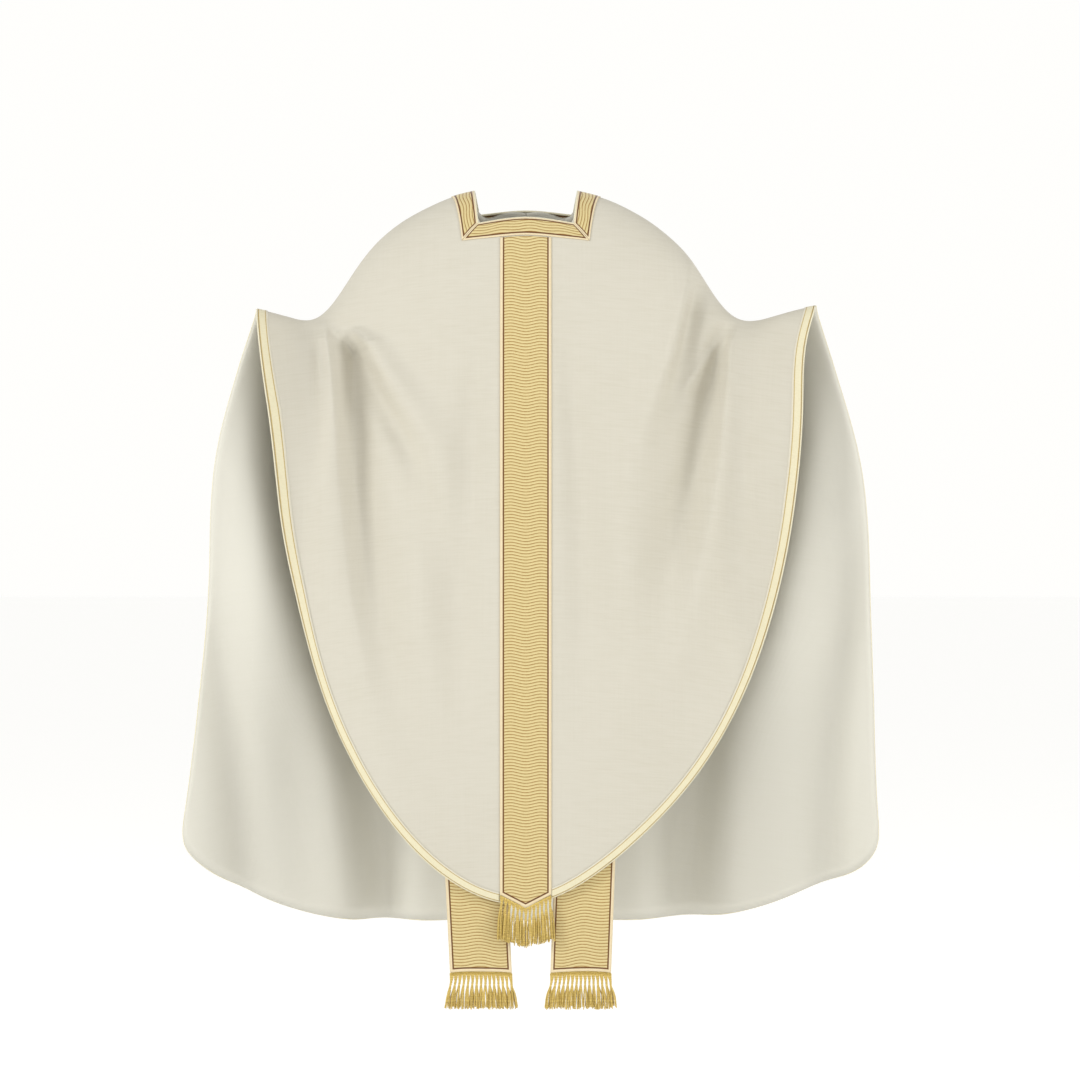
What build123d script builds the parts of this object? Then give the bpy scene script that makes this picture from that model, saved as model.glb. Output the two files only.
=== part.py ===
from build123d import *
import math
import os

# A bell-shaped chasuble with its matching stole, as they hang on a standing wearer whose
# arms are held out. All lengths are millimetres. +Z is up and -Y is the front. Left and
# right are the wearer's, so left is +X. The origin is at the middle of the neck opening,
# level with the tops of the shoulders.

# ---------------------------------------------------------------- the line over both arms
# x, y and z of the fold that runs over the shoulders, elbows and wrists. Past the wrists it
# only carries the wider back panels.
ARM_LINE = [
    (-700, -238, -206), (-560, -205, -204), (-467, -160, -209), (-440, -118, -214),
    (-410, -78, -220), (-380, -48, -225), (-347, -28, -200), (-312, -14, -145),
    (-278, -6, -96), (-242, -2, -61), (-206, 0, -36), (-171, 0, -18), (-135, 0, -2),
    (-92, 0, 9), (0, 0, 22), (92, 0, 9), (135, 0, -2), (150, 0, -7), (185, 0, -24),
    (221, -1, -45), (256, -4, -73), (291, -9, -108), (326, -18, -165), (360, -33, -212),
    (394, -58, -226), (426, -95, -221), (458, -132, -213), (504, -165, -204),
    (580, -205, -201), (720, -244, -204),
]
# From the middle outwards, by |x|: how far the cloth stands in front of the arm line, how
# far it stands behind it, the radius it bends over, and the y where it hangs at each hem.
FRONT_DEPTH = [(0, 135), (135, 134), (226, 122), (300, 98), (384, 62), (440, 50), (700, 45)]
BACK_DEPTH = [(0, 120), (135, 120), (226, 106), (300, 88), (384, 62), (440, 50), (700, 45)]
BEND_RADIUS = [(0, 60), (226, 58), (384, 44), (700, 40)]
FRONT_HEM_Y = [(0, -152), (200, -152), (300, -146), (400, -158), (500, -205), (700, -230)]
BACK_HEM_Y = [(0, 152), (200, 152), (300, 140), (400, 118), (500, 84), (620, 44), (700, 20)]
HEM_DROP = 1230

# ---------------------------------------------------------------- hems, seen from the front
# x and z from each wrist down to the middle of the garment.
FRONT_LEFT_HEM = [
    (504, -200), (486, -264), (480, -367), (473, -489), (451, -645), (416, -785),
    (364, -915), (286, -1037), (199, -1129), (112, -1199), (46, -1234), (0, -1247),
]
FRONT_RIGHT_HEM = [
    (-467, -205), (-458, -298), (-441, -454), (-428, -576), (-393, -750), (-341, -915),
    (-263, -1063), (-167, -1176), (-46, -1241), (0, -1247),
]
BACK_LEFT_HEM = [
    (504, -200), (545, -330), (588, -500), (602, -700), (612, -900), (623, -1100),
    (620, -1160), (596, -1192), (525, -1228), (422, -1268), (313, -1290), (160, -1300),
    (0, -1302),
]
BACK_RIGHT_HEM = [
    (-467, -205), (-508, -330), (-546, -500), (-552, -690), (-575, -900), (-604, -1095),
    (-604, -1155), (-578, -1188), (-496, -1241), (-389, -1282), (-308, -1295), (-160, -1300),
    (0, -1302),
]

# ---------------------------------------------------------------- neck, seen from above
# x and y of the opening's edge and of the band's outer edge: at the shoulder, at the front
# corner and at the back corner, with the y of each edge in the middle.
NECK_EDGE = {"shoulder": 92, "front": (85, -77.5, -77.7), "back": (85, 62, 64)}
BAND_EDGE = {"shoulder": 133, "front": (112, -87.1, -89.5), "back": (111, 78, 82)}

# ---------------------------------------------------------------- trims
ORPHREY_WIDTH = 90
FRONT_ORPHREY_END = (-1228, -1251)
BACK_ORPHREY_END = (-1283, -1306)
GALLOON_WIDTH = 15
SEAM_GAP = 0.8
CREST_Q = 0.04
TRIM_GAP = 0.6
TAPE_WIDTH = 24

# ---------------------------------------------------------------- layers, out from the cloth's face
TRIM = (1.2, 2.4)
CLOTH = (-2.0, 0.0)
TAPE = (-3.6, -2.8)
LINING = (-6.0, -4.8)
STOLE_FACE = (-12.0, -10.8)
STOLE_BACKING = (-14.0, -12.6)

# ---------------------------------------------------------------- stole
STOLE_END_Z = -1365
STOLE_LEFT_X = (43, 149)
STOLE_RIGHT_X = (-132, -24)
STOLE_SHOULDER_X = (95, 203)
STOLE_LEVELS = (-1365, -1000, -650, -350, -130)
STOLE_NAPE_INNER = [(91, -12), (78, -50), (42, -80), (0.4, -88)]
STOLE_NAPE_OUTER = [(194, -52), (160, -112), (90, -168), (0.4, -196)]

# ---------------------------------------------------------------- fringes
HEADING_HEIGHT = 8
HEADING_THICKNESS = 2.4
TASSEL_TOP_R = 2.3
TASSEL_END_R = 3.0
TASSEL_PITCH = 6.9
FRONT_FRINGE_END = (-1305, -1318)
FRONT_FRINGE_FLARE = 6
STOLE_FRINGE_END = -1428
STOLE_FRINGE_FLARE = 11


def along(table, x, column=1):
    """The smooth value at x in rows that start with x."""
    x = min(max(x, table[0][0]), table[-1][0])
    i = next(k for k in range(len(table) - 1) if x <= table[k + 1][0])

    def slope(k):
        a = table[max(k - 1, 0)]
        b = table[min(k + 1, len(table) - 1)]
        return (b[column] - a[column]) / (b[0] - a[0])

    x0, x1 = table[i][0], table[i + 1][0]
    v0, v1 = table[i][column], table[i + 1][column]
    t = (x - x0) / (x1 - x0)
    value = (1 + 2 * t) * (1 - t) ** 2 * v0 + t * t * (3 - 2 * t) * v1
    bend = t * (1 - t) ** 2 * slope(i) - t * t * (1 - t) * slope(i + 1)
    return value + (x1 - x0) * bend


def arm_line(x):
    """y and z of the arm line, softened over the rows near x."""
    near = (x - 18, x - 9, x, x + 9, x + 18)
    return [sum(along(ARM_LINE, n, column) for n in near) / len(near) for column in (1, 2)]


def face_point(x, q):
    """The cloth's outer face, q squared below the arm line: q > 0 in front, q < 0 behind."""
    y, z = arm_line(x)
    depth, hem = (FRONT_DEPTH, FRONT_HEM_Y) if q > 0 else (BACK_DEPTH, BACK_HEM_Y)
    reach = along(depth, abs(x))
    turn = reach / math.sqrt(2 * along(BEND_RADIUS, abs(x)))
    settle = (q * q / HEM_DROP) ** 1.5
    drift = along(hem, abs(x)) - (y - math.copysign(reach, q))
    return Vector(x, y - reach * math.tanh(q / turn) + drift * settle, z - q * q)


def lifted_point(x, q, lift):
    """A point moved out from the cloth's face along its normal."""
    across = face_point(x + 1, q) - face_point(x - 1, q)
    down = face_point(x, q + 0.05) - face_point(x, q - 0.05)
    return face_point(x, q) - across.cross(down).normalized() * lift


def front_y(x, z, lift):
    """y of the lifted front at one x and z."""
    return lifted_point(x, math.sqrt(arm_line(x)[1] - z), lift).Y


def control_nets(points):
    """Cubic patches through a grid of points, as 4 by 4 control points by patch."""
    last = (len(points) - 1, len(points[0]) - 1)

    def along_i(i, j):
        low, high = max(i - 1, 0), min(i + 1, last[0])
        return (points[high][j] - points[low][j]) / (high - low)

    def along_j(i, j):
        low, high = max(j - 1, 0), min(j + 1, last[1])
        return (points[i][high] - points[i][low]) / (high - low)

    def twist(i, j):
        low, high = max(j - 1, 0), min(j + 1, last[1])
        return (along_i(i, high) - along_i(i, low)) / (high - low)

    steps = ((0, 0), (0, 1 / 3), (1, -1 / 3), (1, 0))
    nets = {}
    for i in range(last[0]):
        for j in range(last[1]):
            nets[i, j] = [
                [
                    points[i + a][j + b] + along_i(i + a, j + b) * u
                    + along_j(i + a, j + b) * v + twist(i + a, j + b) * (u * v)
                    for b, v in steps
                ]
                for a, u in steps
            ]
    return nets


def sheet(grid, lifts):
    """A thin closed sheet over a grid of (x, q) rows, between two lifts off the face."""
    inner, outer = [
        control_nets([[lifted_point(x, q, lift) for x, q in row] for row in grid])
        for lift in lifts
    ]
    faces = [Face.make_bezier_surface(net) for nets in (inner, outer) for net in nets.values()]
    last_i, last_j = len(grid) - 2, len(grid[0]) - 2
    for (i, j), net in inner.items():
        other = outer[i, j]
        rims = []
        if i == 0:
            rims.append(list(zip(net[0], other[0])))
        if i == last_i:
            rims.append(list(zip(net[3], other[3])))
        if j == 0:
            rims.append([(net[k][0], other[k][0]) for k in range(4)])
        if j == last_j:
            rims.append([(net[k][3], other[k][3]) for k in range(4)])
        faces += [Face.make_bezier_surface([list(pair) for pair in rim]) for rim in rims]
    return Solid(Shell(faces))


def patch(x_range, q_range, lifts, columns, rows):
    """A sheet over a rectangle of x and q."""
    xs = [x_range[0] + (x_range[1] - x_range[0]) * i / columns for i in range(columns + 1)]
    qs = [q_range[0] + (q_range[1] - q_range[0]) * j / rows for j in range(rows + 1)]
    return sheet([[(x, q) for q in qs] for x in xs], lifts)


def strip(rail_a, rail_b, lifts, across, pull=1.0):
    """A sheet between two rails of (x, q) points, in steps across it that get shorter
    towards the second rail where pull is over 1."""
    shares = [1 - (1 - j / across) ** pull for j in range(across + 1)]
    grid = []
    for (xa, qa), (xb, qb) in zip(rail_a, rail_b):
        grid.append([(xa + (xb - xa) * t, qa + (qb - qa) * t) for t in shares])
    return sheet(grid, lifts)


def even_steps(rail, count, pull=1.0):
    """A rail's points, moved along it to equal steps on the cloth, or to steps that get
    shorter towards its end where pull is over 1."""
    places = [face_point(x, q) for x, q in rail]
    marks = [0]
    for one, two in zip(places, places[1:]):
        marks.append(marks[-1] + (two - one).length)
    made = []
    k = 0
    for i in range(count + 1):
        goal = marks[-1] * (1 - (1 - i / count) ** pull)
        while k < len(marks) - 2 and marks[k + 1] < goal:
            k += 1
        t = (goal - marks[k]) / (marks[k + 1] - marks[k])
        (x0, q0), (x1, q1) = rail[k], rail[k + 1]
        made.append((x0 + (x1 - x0) * t, q0 + (q1 - q0) * t))
    return made


def drop_q(x, z, side):
    """q at one x and z: side is 1 in front and -1 behind."""
    return side * max(math.sqrt(max(arm_line(x)[1] - z, 0)), CREST_Q)


def hem_rail(hem, side, count, inset=0, start=SEAM_GAP / 2):
    """A hem, moved in by an amount, as (x, q) points from near the middle to the wrist."""
    way = math.copysign(1, hem[0][0])
    moved = []
    for i, (x, z) in enumerate(hem):
        x0, z0 = hem[max(i - 1, 0)]
        x1, z1 = hem[min(i + 1, len(hem) - 1)]
        run = math.hypot(x1 - x0, z1 - z0)
        moved.append((x + way * (z1 - z0) / run * inset, z - way * (x1 - x0) / run * inset))
    moved[0] = (hem[0][0] - way * inset, hem[0][1])
    moved[-1] = (0, hem[-1][1] + inset)
    curve = Spline(*reversed(moved))
    rail = []
    for i in range(801):
        point = curve.position_at(i / 800)
        if abs(point.X) >= start:
            rail.append((point.X, drop_q(point.X, point.Y, side)))
    rail.insert(0, (way * start, rail[0][1]))
    rail[-1] = (rail[-1][0], side * CREST_Q)
    return even_steps(rail, count, 1.4)


def neck_rail(edge, way, side, count):
    """The cloth's neck edge under the band, as (x, q) points from the middle to the shoulder."""
    x, y, middle_y = edge
    shoulder = NECK_EDGE["shoulder"] + 2
    middle_y, y = middle_y - side * 2, y - side * 2
    points = [(0, middle_y), (x * 0.5, middle_y), (x - 12, y), (x, y * 0.83)]
    points += [(shoulder - 1.5, y * 0.4), (shoulder, 0)]
    curve = Spline(*points)
    rail = []
    for i in range(count + 1):
        point = curve.position_at(1 - (1 - i / count) ** 1.4)
        depth = along(FRONT_DEPTH if side > 0 else BACK_DEPTH, point.X)
        turn = depth / math.sqrt(2 * along(BEND_RADIUS, point.X))
        q = max(turn * math.atanh(abs(point.Y) / depth), CREST_Q)
        rail.append((way * max(point.X, SEAM_GAP / 2), side * q))
    return rail


def panel(hem, side, lifts):
    """One half of the front or back in one layer of cloth, fanned out from the neck."""
    way = math.copysign(1, hem[0][0])
    edge = NECK_EDGE["front"] if side > 0 else NECK_EDGE["back"]
    return strip(neck_rail(edge, way, side, 34), hem_rail(hem, side, 34), lifts, 16, 1.3)


def galloon(hem, side):
    """The braid along one half's hem, from the orphrey to the wrist."""
    start = ORPHREY_WIDTH / 2 + TRIM_GAP
    outer = hem_rail(hem, side, 48, 0.5, start)
    return strip(outer, hem_rail(hem, side, 48, 0.5 + GALLOON_WIDTH, start), TRIM, 1)


def outline_tool(points, y_range):
    """A block with an outline in x and z, from one y to another."""
    face = make_face(Polyline(*[(x, y_range[0], z) for x, z in points], close=True))
    return extrude(face, y_range[1] - y_range[0], dir=(0, 1, 0))


def plan_tool(edge, grow=0):
    """A tall block with the outline of the neck, seen from above."""
    side = edge["shoulder"] + grow
    fx, fy, fm = edge["front"]
    bx, by, bm = edge["back"]
    fx, fy, fm, bx, by, bm = fx + grow, fy - grow, fm - grow, bx + grow, by + grow, bm + grow
    outline = [
        ThreePointArc((-fx, fy), (0, fm), (fx, fy)),
        Polyline((fx, fy), (side, 0), (bx, by)),
        ThreePointArc((bx, by), (0, bm), (-bx, by)),
        Polyline((-bx, by), (-side, 0), (-fx, fy)),
    ]
    return Pos(0, 0, -160) * extrude(make_face(outline), 240)


def neck_bands():
    """The band round the neck in four pieces, mitred at its corners."""
    ring = patch((-145, 145), (-14, 14), TRIM, 10, 10) & (plan_tool(BAND_EDGE) - plan_tool(NECK_EDGE))
    for corner in ("front", "back"):
        for side in (1, -1):
            x0, y0 = side * NECK_EDGE[corner][0], NECK_EDGE[corner][1]
            x1, y1 = side * BAND_EDGE[corner][0], BAND_EDGE[corner][1]
            angle = math.degrees(math.atan2(y1 - y0, x1 - x0))
            ring -= Pos((x0 + x1) / 2, (y0 + y1) / 2, 0) * Rot(0, 0, angle) * Box(80, TRIM_GAP, 400)
    pieces = ring.solids()
    return {
        "neck_band_front": pieces.sort_by(Axis.Y)[0],
        "neck_band_back": pieces.sort_by(Axis.Y)[-1],
        "neck_band_left": pieces.sort_by(Axis.X)[-1],
        "neck_band_right": pieces.sort_by(Axis.X)[0],
    }


def orphrey(q_range, end, y_range, band):
    """The woven column from the neck band down to its point."""
    half = ORPHREY_WIDTH / 2
    side_z, point_z = end
    outline = [(-half, 0), (half, 0), (half, side_z), (0, point_z), (-half, side_z)]
    cloth = patch((-half - 4, half + 4), q_range, TRIM, 2, 16)
    return cloth & outline_tool(outline, y_range) - band


def fringe(x_range, top, end, flare, y):
    """A heading with knotted tassels, hung at y; top and end are z at the sides and middle."""
    x0, x1 = x_range
    middle = (x0 + x1) / 2
    half = (x1 - x0) / 2
    outline = [(x0, top[0]), (middle, top[1]), (x1, top[0])]
    lower = [(x, z - HEADING_HEIGHT) for x, z in reversed(outline)]
    made = outline_tool(outline + lower, (y - HEADING_THICKNESS, y))
    count = round((x1 - x0) / TASSEL_PITCH)
    for i in range(count):
        share = (2 * i + 1) / count - 1
        start_z = top[1] + (top[0] - top[1]) * abs(share) - HEADING_HEIGHT / 2
        end_z = end[1] + (end[0] - end[1]) * abs(share)
        start = Vector(middle + share * half, y - HEADING_THICKNESS, start_z)
        run = Vector(share * flare, 0, end_z - start_z)
        hang = Plane(origin=start, z_dir=run)
        made += Solid.make_cone(TASSEL_TOP_R, TASSEL_END_R, run.length, plane=hang)
    return made


def stole_rail(end_x, shoulder_x, nape, way):
    """One long edge of half the stole, as (x, q) points from its end to the nape."""
    points = []
    for z in STOLE_LEVELS:
        x = end_x + (way * shoulder_x - end_x) * (z - STOLE_END_Z) / -STOLE_END_Z
        points.append((x, 12 * drop_q(x, z, 1)))
    points.append((way * shoulder_x, 0))
    points += [(way * x, 12 * drop_q(way * x, z, -1)) for x, z in nape]
    curve = Spline(*points)
    dense = [curve.position_at(i / 400) for i in range(401)]
    return even_steps([(point.X, point.Y / 12) for point in dense], 30)


def stole_half(end_x, way, lifts):
    """Half the stole: down the front, over the shoulder and round to the nape."""
    near, far = sorted(end_x, key=abs)
    inner = stole_rail(near, STOLE_SHOULDER_X[0], STOLE_NAPE_INNER, way)
    outer = stole_rail(far, STOLE_SHOULDER_X[1], STOLE_NAPE_OUTER, way)
    return strip(inner, outer, lifts, 3)


def build():
    """Every node's name and shape."""
    band = plan_tool(BAND_EDGE, TRIM_GAP)
    nodes = neck_bands()
    nodes["front_orphrey"] = orphrey((2, 37), FRONT_ORPHREY_END, (-300, 0), band)
    nodes["back_orphrey"] = orphrey((-37, -2), BACK_ORPHREY_END, (0, 300), band)
    halves = (
        ("left", 1, FRONT_LEFT_HEM, BACK_LEFT_HEM, STOLE_LEFT_X),
        ("right", -1, FRONT_RIGHT_HEM, BACK_RIGHT_HEM, STOLE_RIGHT_X),
    )
    for word, way, front_hem, back_hem, end_x in halves:
        for place, side, hem in (("front", 1, front_hem), ("back", -1, back_hem)):
            nodes[f"{place}_panel_{word}"] = panel(hem, side, CLOTH)
            nodes[f"{place}_lining_{word}"] = panel(hem, side, LINING)
            nodes[f"{place}_galloon_{word}"] = galloon(hem, side)
        reach = TAPE_WIDTH / 2 / math.sqrt(2 * BEND_RADIUS[0][1])
        tape_x = (way * 98, front_hem[0][0] - way * 6)
        nodes[f"shoulder_tape_{word}"] = patch(tape_x, (-reach, reach), TAPE, 26, 2)
        nodes[f"stole_{word}"] = stole_half(end_x, way, STOLE_FACE)
        nodes[f"stole_backing_{word}"] = stole_half(end_x, way, STOLE_BACKING)
        y = front_y(sum(end_x) / 2, STOLE_END_Z, STOLE_BACKING[0])
        top = STOLE_END_Z - TRIM_GAP
        nodes[f"stole_fringe_{word}"] = fringe(
            sorted(end_x), (top, top), (STOLE_FRINGE_END, STOLE_FRINGE_END), STOLE_FRINGE_FLARE, y)
    side_z, point_z = FRONT_ORPHREY_END
    top = (side_z - TRIM_GAP, point_z - TRIM_GAP)
    span = (-ORPHREY_WIDTH / 2, ORPHREY_WIDTH / 2)
    y = front_y(0, point_z, TRIM_GAP)
    nodes["front_fringe"] = fringe(span, top, FRONT_FRINGE_END, FRONT_FRINGE_FLARE, y)
    return nodes


os.makedirs("parts", exist_ok=True)
for name, shape in build().items():
    export_step(shape, f"parts/{name}.step")
    print(name, len(shape.solids()), "solid,", round(shape.volume / 1000, 1), "cm3")
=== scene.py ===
# %% [markdown]
# # A bell chasuble over its stole
# A chasuble is one large bell of cloth that hangs from the shoulders and falls over both
# arms. This lesson builds it from sheets that share one hanging surface: the outer cloth,
# its lining, the woven column down the middle, the neck band and the hem braid. Corded
# fringes hang below. The frame brings the solid parts, so every sheet only has to follow
# them.

# %% Load the frame
import math
import random

import bpy
import numpy as np
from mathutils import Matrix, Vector


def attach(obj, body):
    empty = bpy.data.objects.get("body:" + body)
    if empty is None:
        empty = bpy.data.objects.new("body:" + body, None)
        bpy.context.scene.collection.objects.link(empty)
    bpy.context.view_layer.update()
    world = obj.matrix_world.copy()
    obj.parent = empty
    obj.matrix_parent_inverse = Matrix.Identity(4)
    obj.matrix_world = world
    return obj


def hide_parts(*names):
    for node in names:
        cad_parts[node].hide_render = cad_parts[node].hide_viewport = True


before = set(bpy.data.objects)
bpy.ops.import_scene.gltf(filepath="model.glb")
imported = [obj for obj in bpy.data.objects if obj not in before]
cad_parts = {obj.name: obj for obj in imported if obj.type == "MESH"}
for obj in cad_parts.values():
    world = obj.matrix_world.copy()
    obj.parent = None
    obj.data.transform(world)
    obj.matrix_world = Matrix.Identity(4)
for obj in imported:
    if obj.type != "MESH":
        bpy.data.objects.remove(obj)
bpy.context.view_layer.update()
MM = 0.001

# %% [markdown]
# ## The hanging surface
# Cloth laid over two held-out arms bends over one long line: neck, shoulders, elbows and
# wrists. Below that line it falls nearly straight. So one rule gives the whole garment: at
# a distance x from the middle, take the arm line, go down by q squared, and stand off
# towards the front (q above 0) or the back (q below 0) by a curve that levels out. The
# numbers are those of the solid parts, in millimetres.

# %% The arm line and how far the cloth stands off it
ARM_LINE = [
    (-700, -238, -206), (-560, -205, -204), (-467, -160, -209), (-440, -118, -214),
    (-410, -78, -220), (-380, -48, -225), (-347, -28, -200), (-312, -14, -145),
    (-278, -6, -96), (-242, -2, -61), (-206, 0, -36), (-171, 0, -18), (-135, 0, -2),
    (-92, 0, 9), (0, 0, 22), (92, 0, 9), (135, 0, -2), (150, 0, -7), (185, 0, -24),
    (221, -1, -45), (256, -4, -73), (291, -9, -108), (326, -18, -165), (360, -33, -212),
    (394, -58, -226), (426, -95, -221), (458, -132, -213), (504, -165, -204),
    (580, -205, -201), (720, -244, -204),
]
FRONT_DEPTH = [(0, 135), (135, 134), (226, 122), (300, 98), (384, 62), (440, 50), (700, 45)]
BACK_DEPTH = [(0, 120), (135, 120), (226, 106), (300, 88), (384, 62), (440, 50), (700, 45)]
BEND_RADIUS = [(0, 60), (226, 58), (384, 44), (700, 40)]
FRONT_HEM_Y = [(0, -152), (200, -152), (300, -146), (400, -158), (500, -205), (700, -230)]
BACK_HEM_Y = [(0, 152), (200, 152), (300, 140), (400, 118), (500, 84), (620, 44), (700, 20)]
HEM_DROP = 1230


def along(table, x, column=1):
    """The smooth value at x in rows that start with x."""
    rows = np.array(table, float)
    knots, values = rows[:, 0], rows[:, column]
    last = len(knots) - 1
    low = np.maximum(np.arange(last + 1) - 1, 0)
    high = np.minimum(np.arange(last + 1) + 1, last)
    slopes = (values[high] - values[low]) / (knots[high] - knots[low])
    x = np.clip(x, knots[0], knots[-1])
    i = np.clip(np.searchsorted(knots[1:], x), 0, last - 1)
    width = knots[i + 1] - knots[i]
    t = (x - knots[i]) / width
    value = (1 + 2 * t) * (1 - t) ** 2 * values[i] + t * t * (3 - 2 * t) * values[i + 1]
    return value + width * (t * (1 - t) ** 2 * slopes[i] - t * t * (1 - t) * slopes[i + 1])


def arm_line(x):
    """y and z of the arm line at x."""
    near = [x - 18, x - 9, x, x + 9, x + 18]
    return [sum(along(ARM_LINE, n, column) for n in near) / 5 for column in (1, 2)]


def smooth_surface(x, q):
    """Points of the cloth before any fold, in millimetres."""
    x, q = np.broadcast_arrays(np.asarray(x, float), np.asarray(q, float))
    y, z = arm_line(x)
    front = q > 0
    out = np.abs(x)
    reach = np.where(front, along(FRONT_DEPTH, out), along(BACK_DEPTH, out))
    hem_y = np.where(front, along(FRONT_HEM_Y, out), along(BACK_HEM_Y, out))
    turn = reach / np.sqrt(2 * along(BEND_RADIUS, out))
    drift = hem_y - (y - np.where(front, reach, -reach))
    fall = y - reach * np.tanh(q / turn) + drift * (q * q / HEM_DROP) ** 1.5
    return np.stack([x, fall, z - q * q], -1)


def facing(surface, x, q):
    """The outward direction of a surface at x and q."""
    across = surface(x + 1, q) - surface(x - 1, q)
    down = surface(x, q + 0.05) - surface(x, q - 0.05)
    normal = -np.cross(across, down)
    return normal / np.linalg.norm(normal, axis=-1, keepdims=True)


print("the arm line at the wrists:", [round(float(v)) for v in arm_line(np.array(470.0))])

# %% [markdown]
# ## Folds
# Where cloth is held up at the elbows and hangs free between, the spare width gathers into
# long folds. In front most of them start small at an elbow and all fade out by the hem,
# and behind they run down to it. A sculptor would pull them by hand. Here each fold is a
# row of stops from top to bottom: its x and z, how far it stands out, and how soft its two
# sides are. A narrow side makes a crisp edge and a wide side a slow roll. The heights are a
# guess, and one scale for all of them sets how strongly the light catches them.

# %% Front and back folds
# x, z, height, softness towards -x, softness towards +x
FRONT_FOLDS = [
    # right arm: the long ridge that falls from the elbow, and the pocket inside it
    [(-356, -222, 0, 22, 14), (-350, -262, 16, 40, 12), (-334, -400, 24, 62, 13),
     (-325, -520, 23, 66, 15), (-308, -700, 18, 70, 22), (-281, -850, 13, 66, 32),
     (-246, -1000, 8, 56, 40), (-212, -1130, 0, 50, 44)],
    [(-322, -246, 0, 10, 14), (-308, -276, -24, 13, 24), (-300, -390, -19, 22, 38),
     (-298, -510, -17, 28, 46), (-278, -670, -13, 34, 52), (-240, -810, -8, 44, 56),
     (-200, -960, 0, 50, 60)],
    [(-300, -238, 0, 12, 16), (-276, -262, 13, 14, 24), (-228, -338, 16, 24, 34),
     (-172, -440, 11, 36, 46), (-132, -560, 7, 44, 54), (-108, -700, 0, 50, 60)],
    [(-296, -262, 0, 14, 12), (-262, -352, -14, 24, 20), (-212, -440, -13, 32, 30),
     (-176, -560, -9, 40, 40), (-160, -720, 0, 50, 50)],
    [(-84, -250, 0, 24, 20), (-92, -380, -8, 30, 24), (-100, -540, -12, 38, 28),
     (-114, -720, -12, 44, 34), (-112, -900, -7, 44, 36), (-98, -1080, 0, 40, 36)],
    [(-190, -480, 0, 40, 34), (-188, -620, 8, 40, 34), (-186, -780, 8, 46, 40),
     (-168, -940, 0, 50, 40)],
    [(-420, -262, 0, 30, 24), (-414, -380, 6, 30, 30), (-392, -520, 7, 34, 34),
     (-356, -700, 5, 40, 40), (-330, -830, 0, 40, 40)],
    # left arm: a group like the right one, but no exact mirror of it
    [(386, -222, 0, 16, 30), (370, -262, 11, 16, 44), (358, -340, 20, 15, 58),
     (344, -440, 22, 17, 64), (314, -620, 18, 24, 64), (286, -750, 12, 32, 62),
     (248, -920, 0, 42, 60)],
    [(350, -226, 0, 20, 10), (340, -268, -14, 22, 14), (326, -345, -20, 30, 16),
     (300, -480, -17, 40, 25), (262, -610, -13, 48, 36), (222, -780, 0, 52, 50)],
    [(290, -104, 0, 18, 12), (272, -190, 13, 24, 14), (252, -290, 16, 34, 20),
     (216, -420, 12, 44, 36), (172, -580, 6, 56, 54), (150, -720, 0, 60, 60)],
    [(310, -150, 0, 10, 18), (294, -205, -11, 12, 20), (273, -290, -12, 16, 26),
     (238, -410, -9, 28, 36), (206, -550, -4, 40, 46), (190, -640, 0, 40, 50)],
    [(78, -240, 0, 20, 30), (86, -380, -9, 24, 34), (98, -560, -12, 28, 44),
     (106, -760, -9, 34, 50), (98, -1000, 0, 36, 50)],
    [(172, -520, 0, 40, 50), (180, -660, 9, 40, 50), (186, -820, 7, 50, 56),
     (164, -1020, 0, 50, 60)],
    [(444, -262, 0, 24, 30), (436, -380, 6, 30, 30), (416, -540, 7, 36, 36),
     (380, -720, 4, 40, 40), (350, -850, 0, 40, 40)],
    # short creases that spread from each elbow
    [(352, -240, 0, 7, 9), (340, -262, 5, 7, 10), (306, -312, 4, 10, 14),
     (270, -360, 0, 14, 18)],
    [(366, -244, 0, 7, 8), (356, -280, 5, 8, 9), (346, -330, 0, 10, 10)],
    [(-338, -238, 0, 8, 7), (-318, -256, 5, 9, 7), (-286, -282, 4, 12, 9),
     (-250, -322, 0, 16, 12)],
    [(-372, -244, 0, 8, 8), (-372, -300, 4, 9, 9), (-366, -380, 0, 12, 12)],
]
BACK_FOLDS = [
    [(-492, -300, 0, 30, 40), (-490, -480, -12, 34, 46), (-462, -680, -26, 44, 52),
     (-418, -860, -34, 48, 54), (-366, -1030, -30, 54, 54), (-322, -1300, -22, 58, 58)],
    [(-560, -520, 0, 40, 40), (-546, -700, 12, 40, 44), (-532, -900, 19, 42, 48),
     (-506, -1080, 23, 48, 48), (-486, -1300, 23, 52, 50)],
    [(-330, -620, 0, 50, 50), (-300, -850, 12, 54, 50), (-270, -1060, 17, 56, 44),
     (-252, -1300, 19, 56, 40)],
    [(-206, -700, 0, 40, 60), (-200, -900, -9, 48, 58), (-190, -1300, -13, 46, 58)],
    [(506, -300, 0, 30, 40), (508, -440, -11, 40, 36), (490, -600, -21, 46, 44),
     (452, -780, -31, 52, 50), (404, -940, -30, 54, 54), (364, -1300, -20, 58, 58)],
    [(574, -560, 0, 40, 40), (560, -760, 12, 42, 38), (538, -960, 19, 48, 42),
     (518, -1300, 23, 52, 52)],
    [(330, -640, 0, 50, 50), (310, -860, 11, 52, 52), (294, -1060, 15, 50, 56),
     (282, -1300, 17, 46, 56)],
    [(214, -700, 0, 60, 40), (212, -900, -8, 58, 48), (206, -1300, -12, 58, 46)],
]
FOLD_SCALE = 1.38
FOLD_START = 2.6


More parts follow.
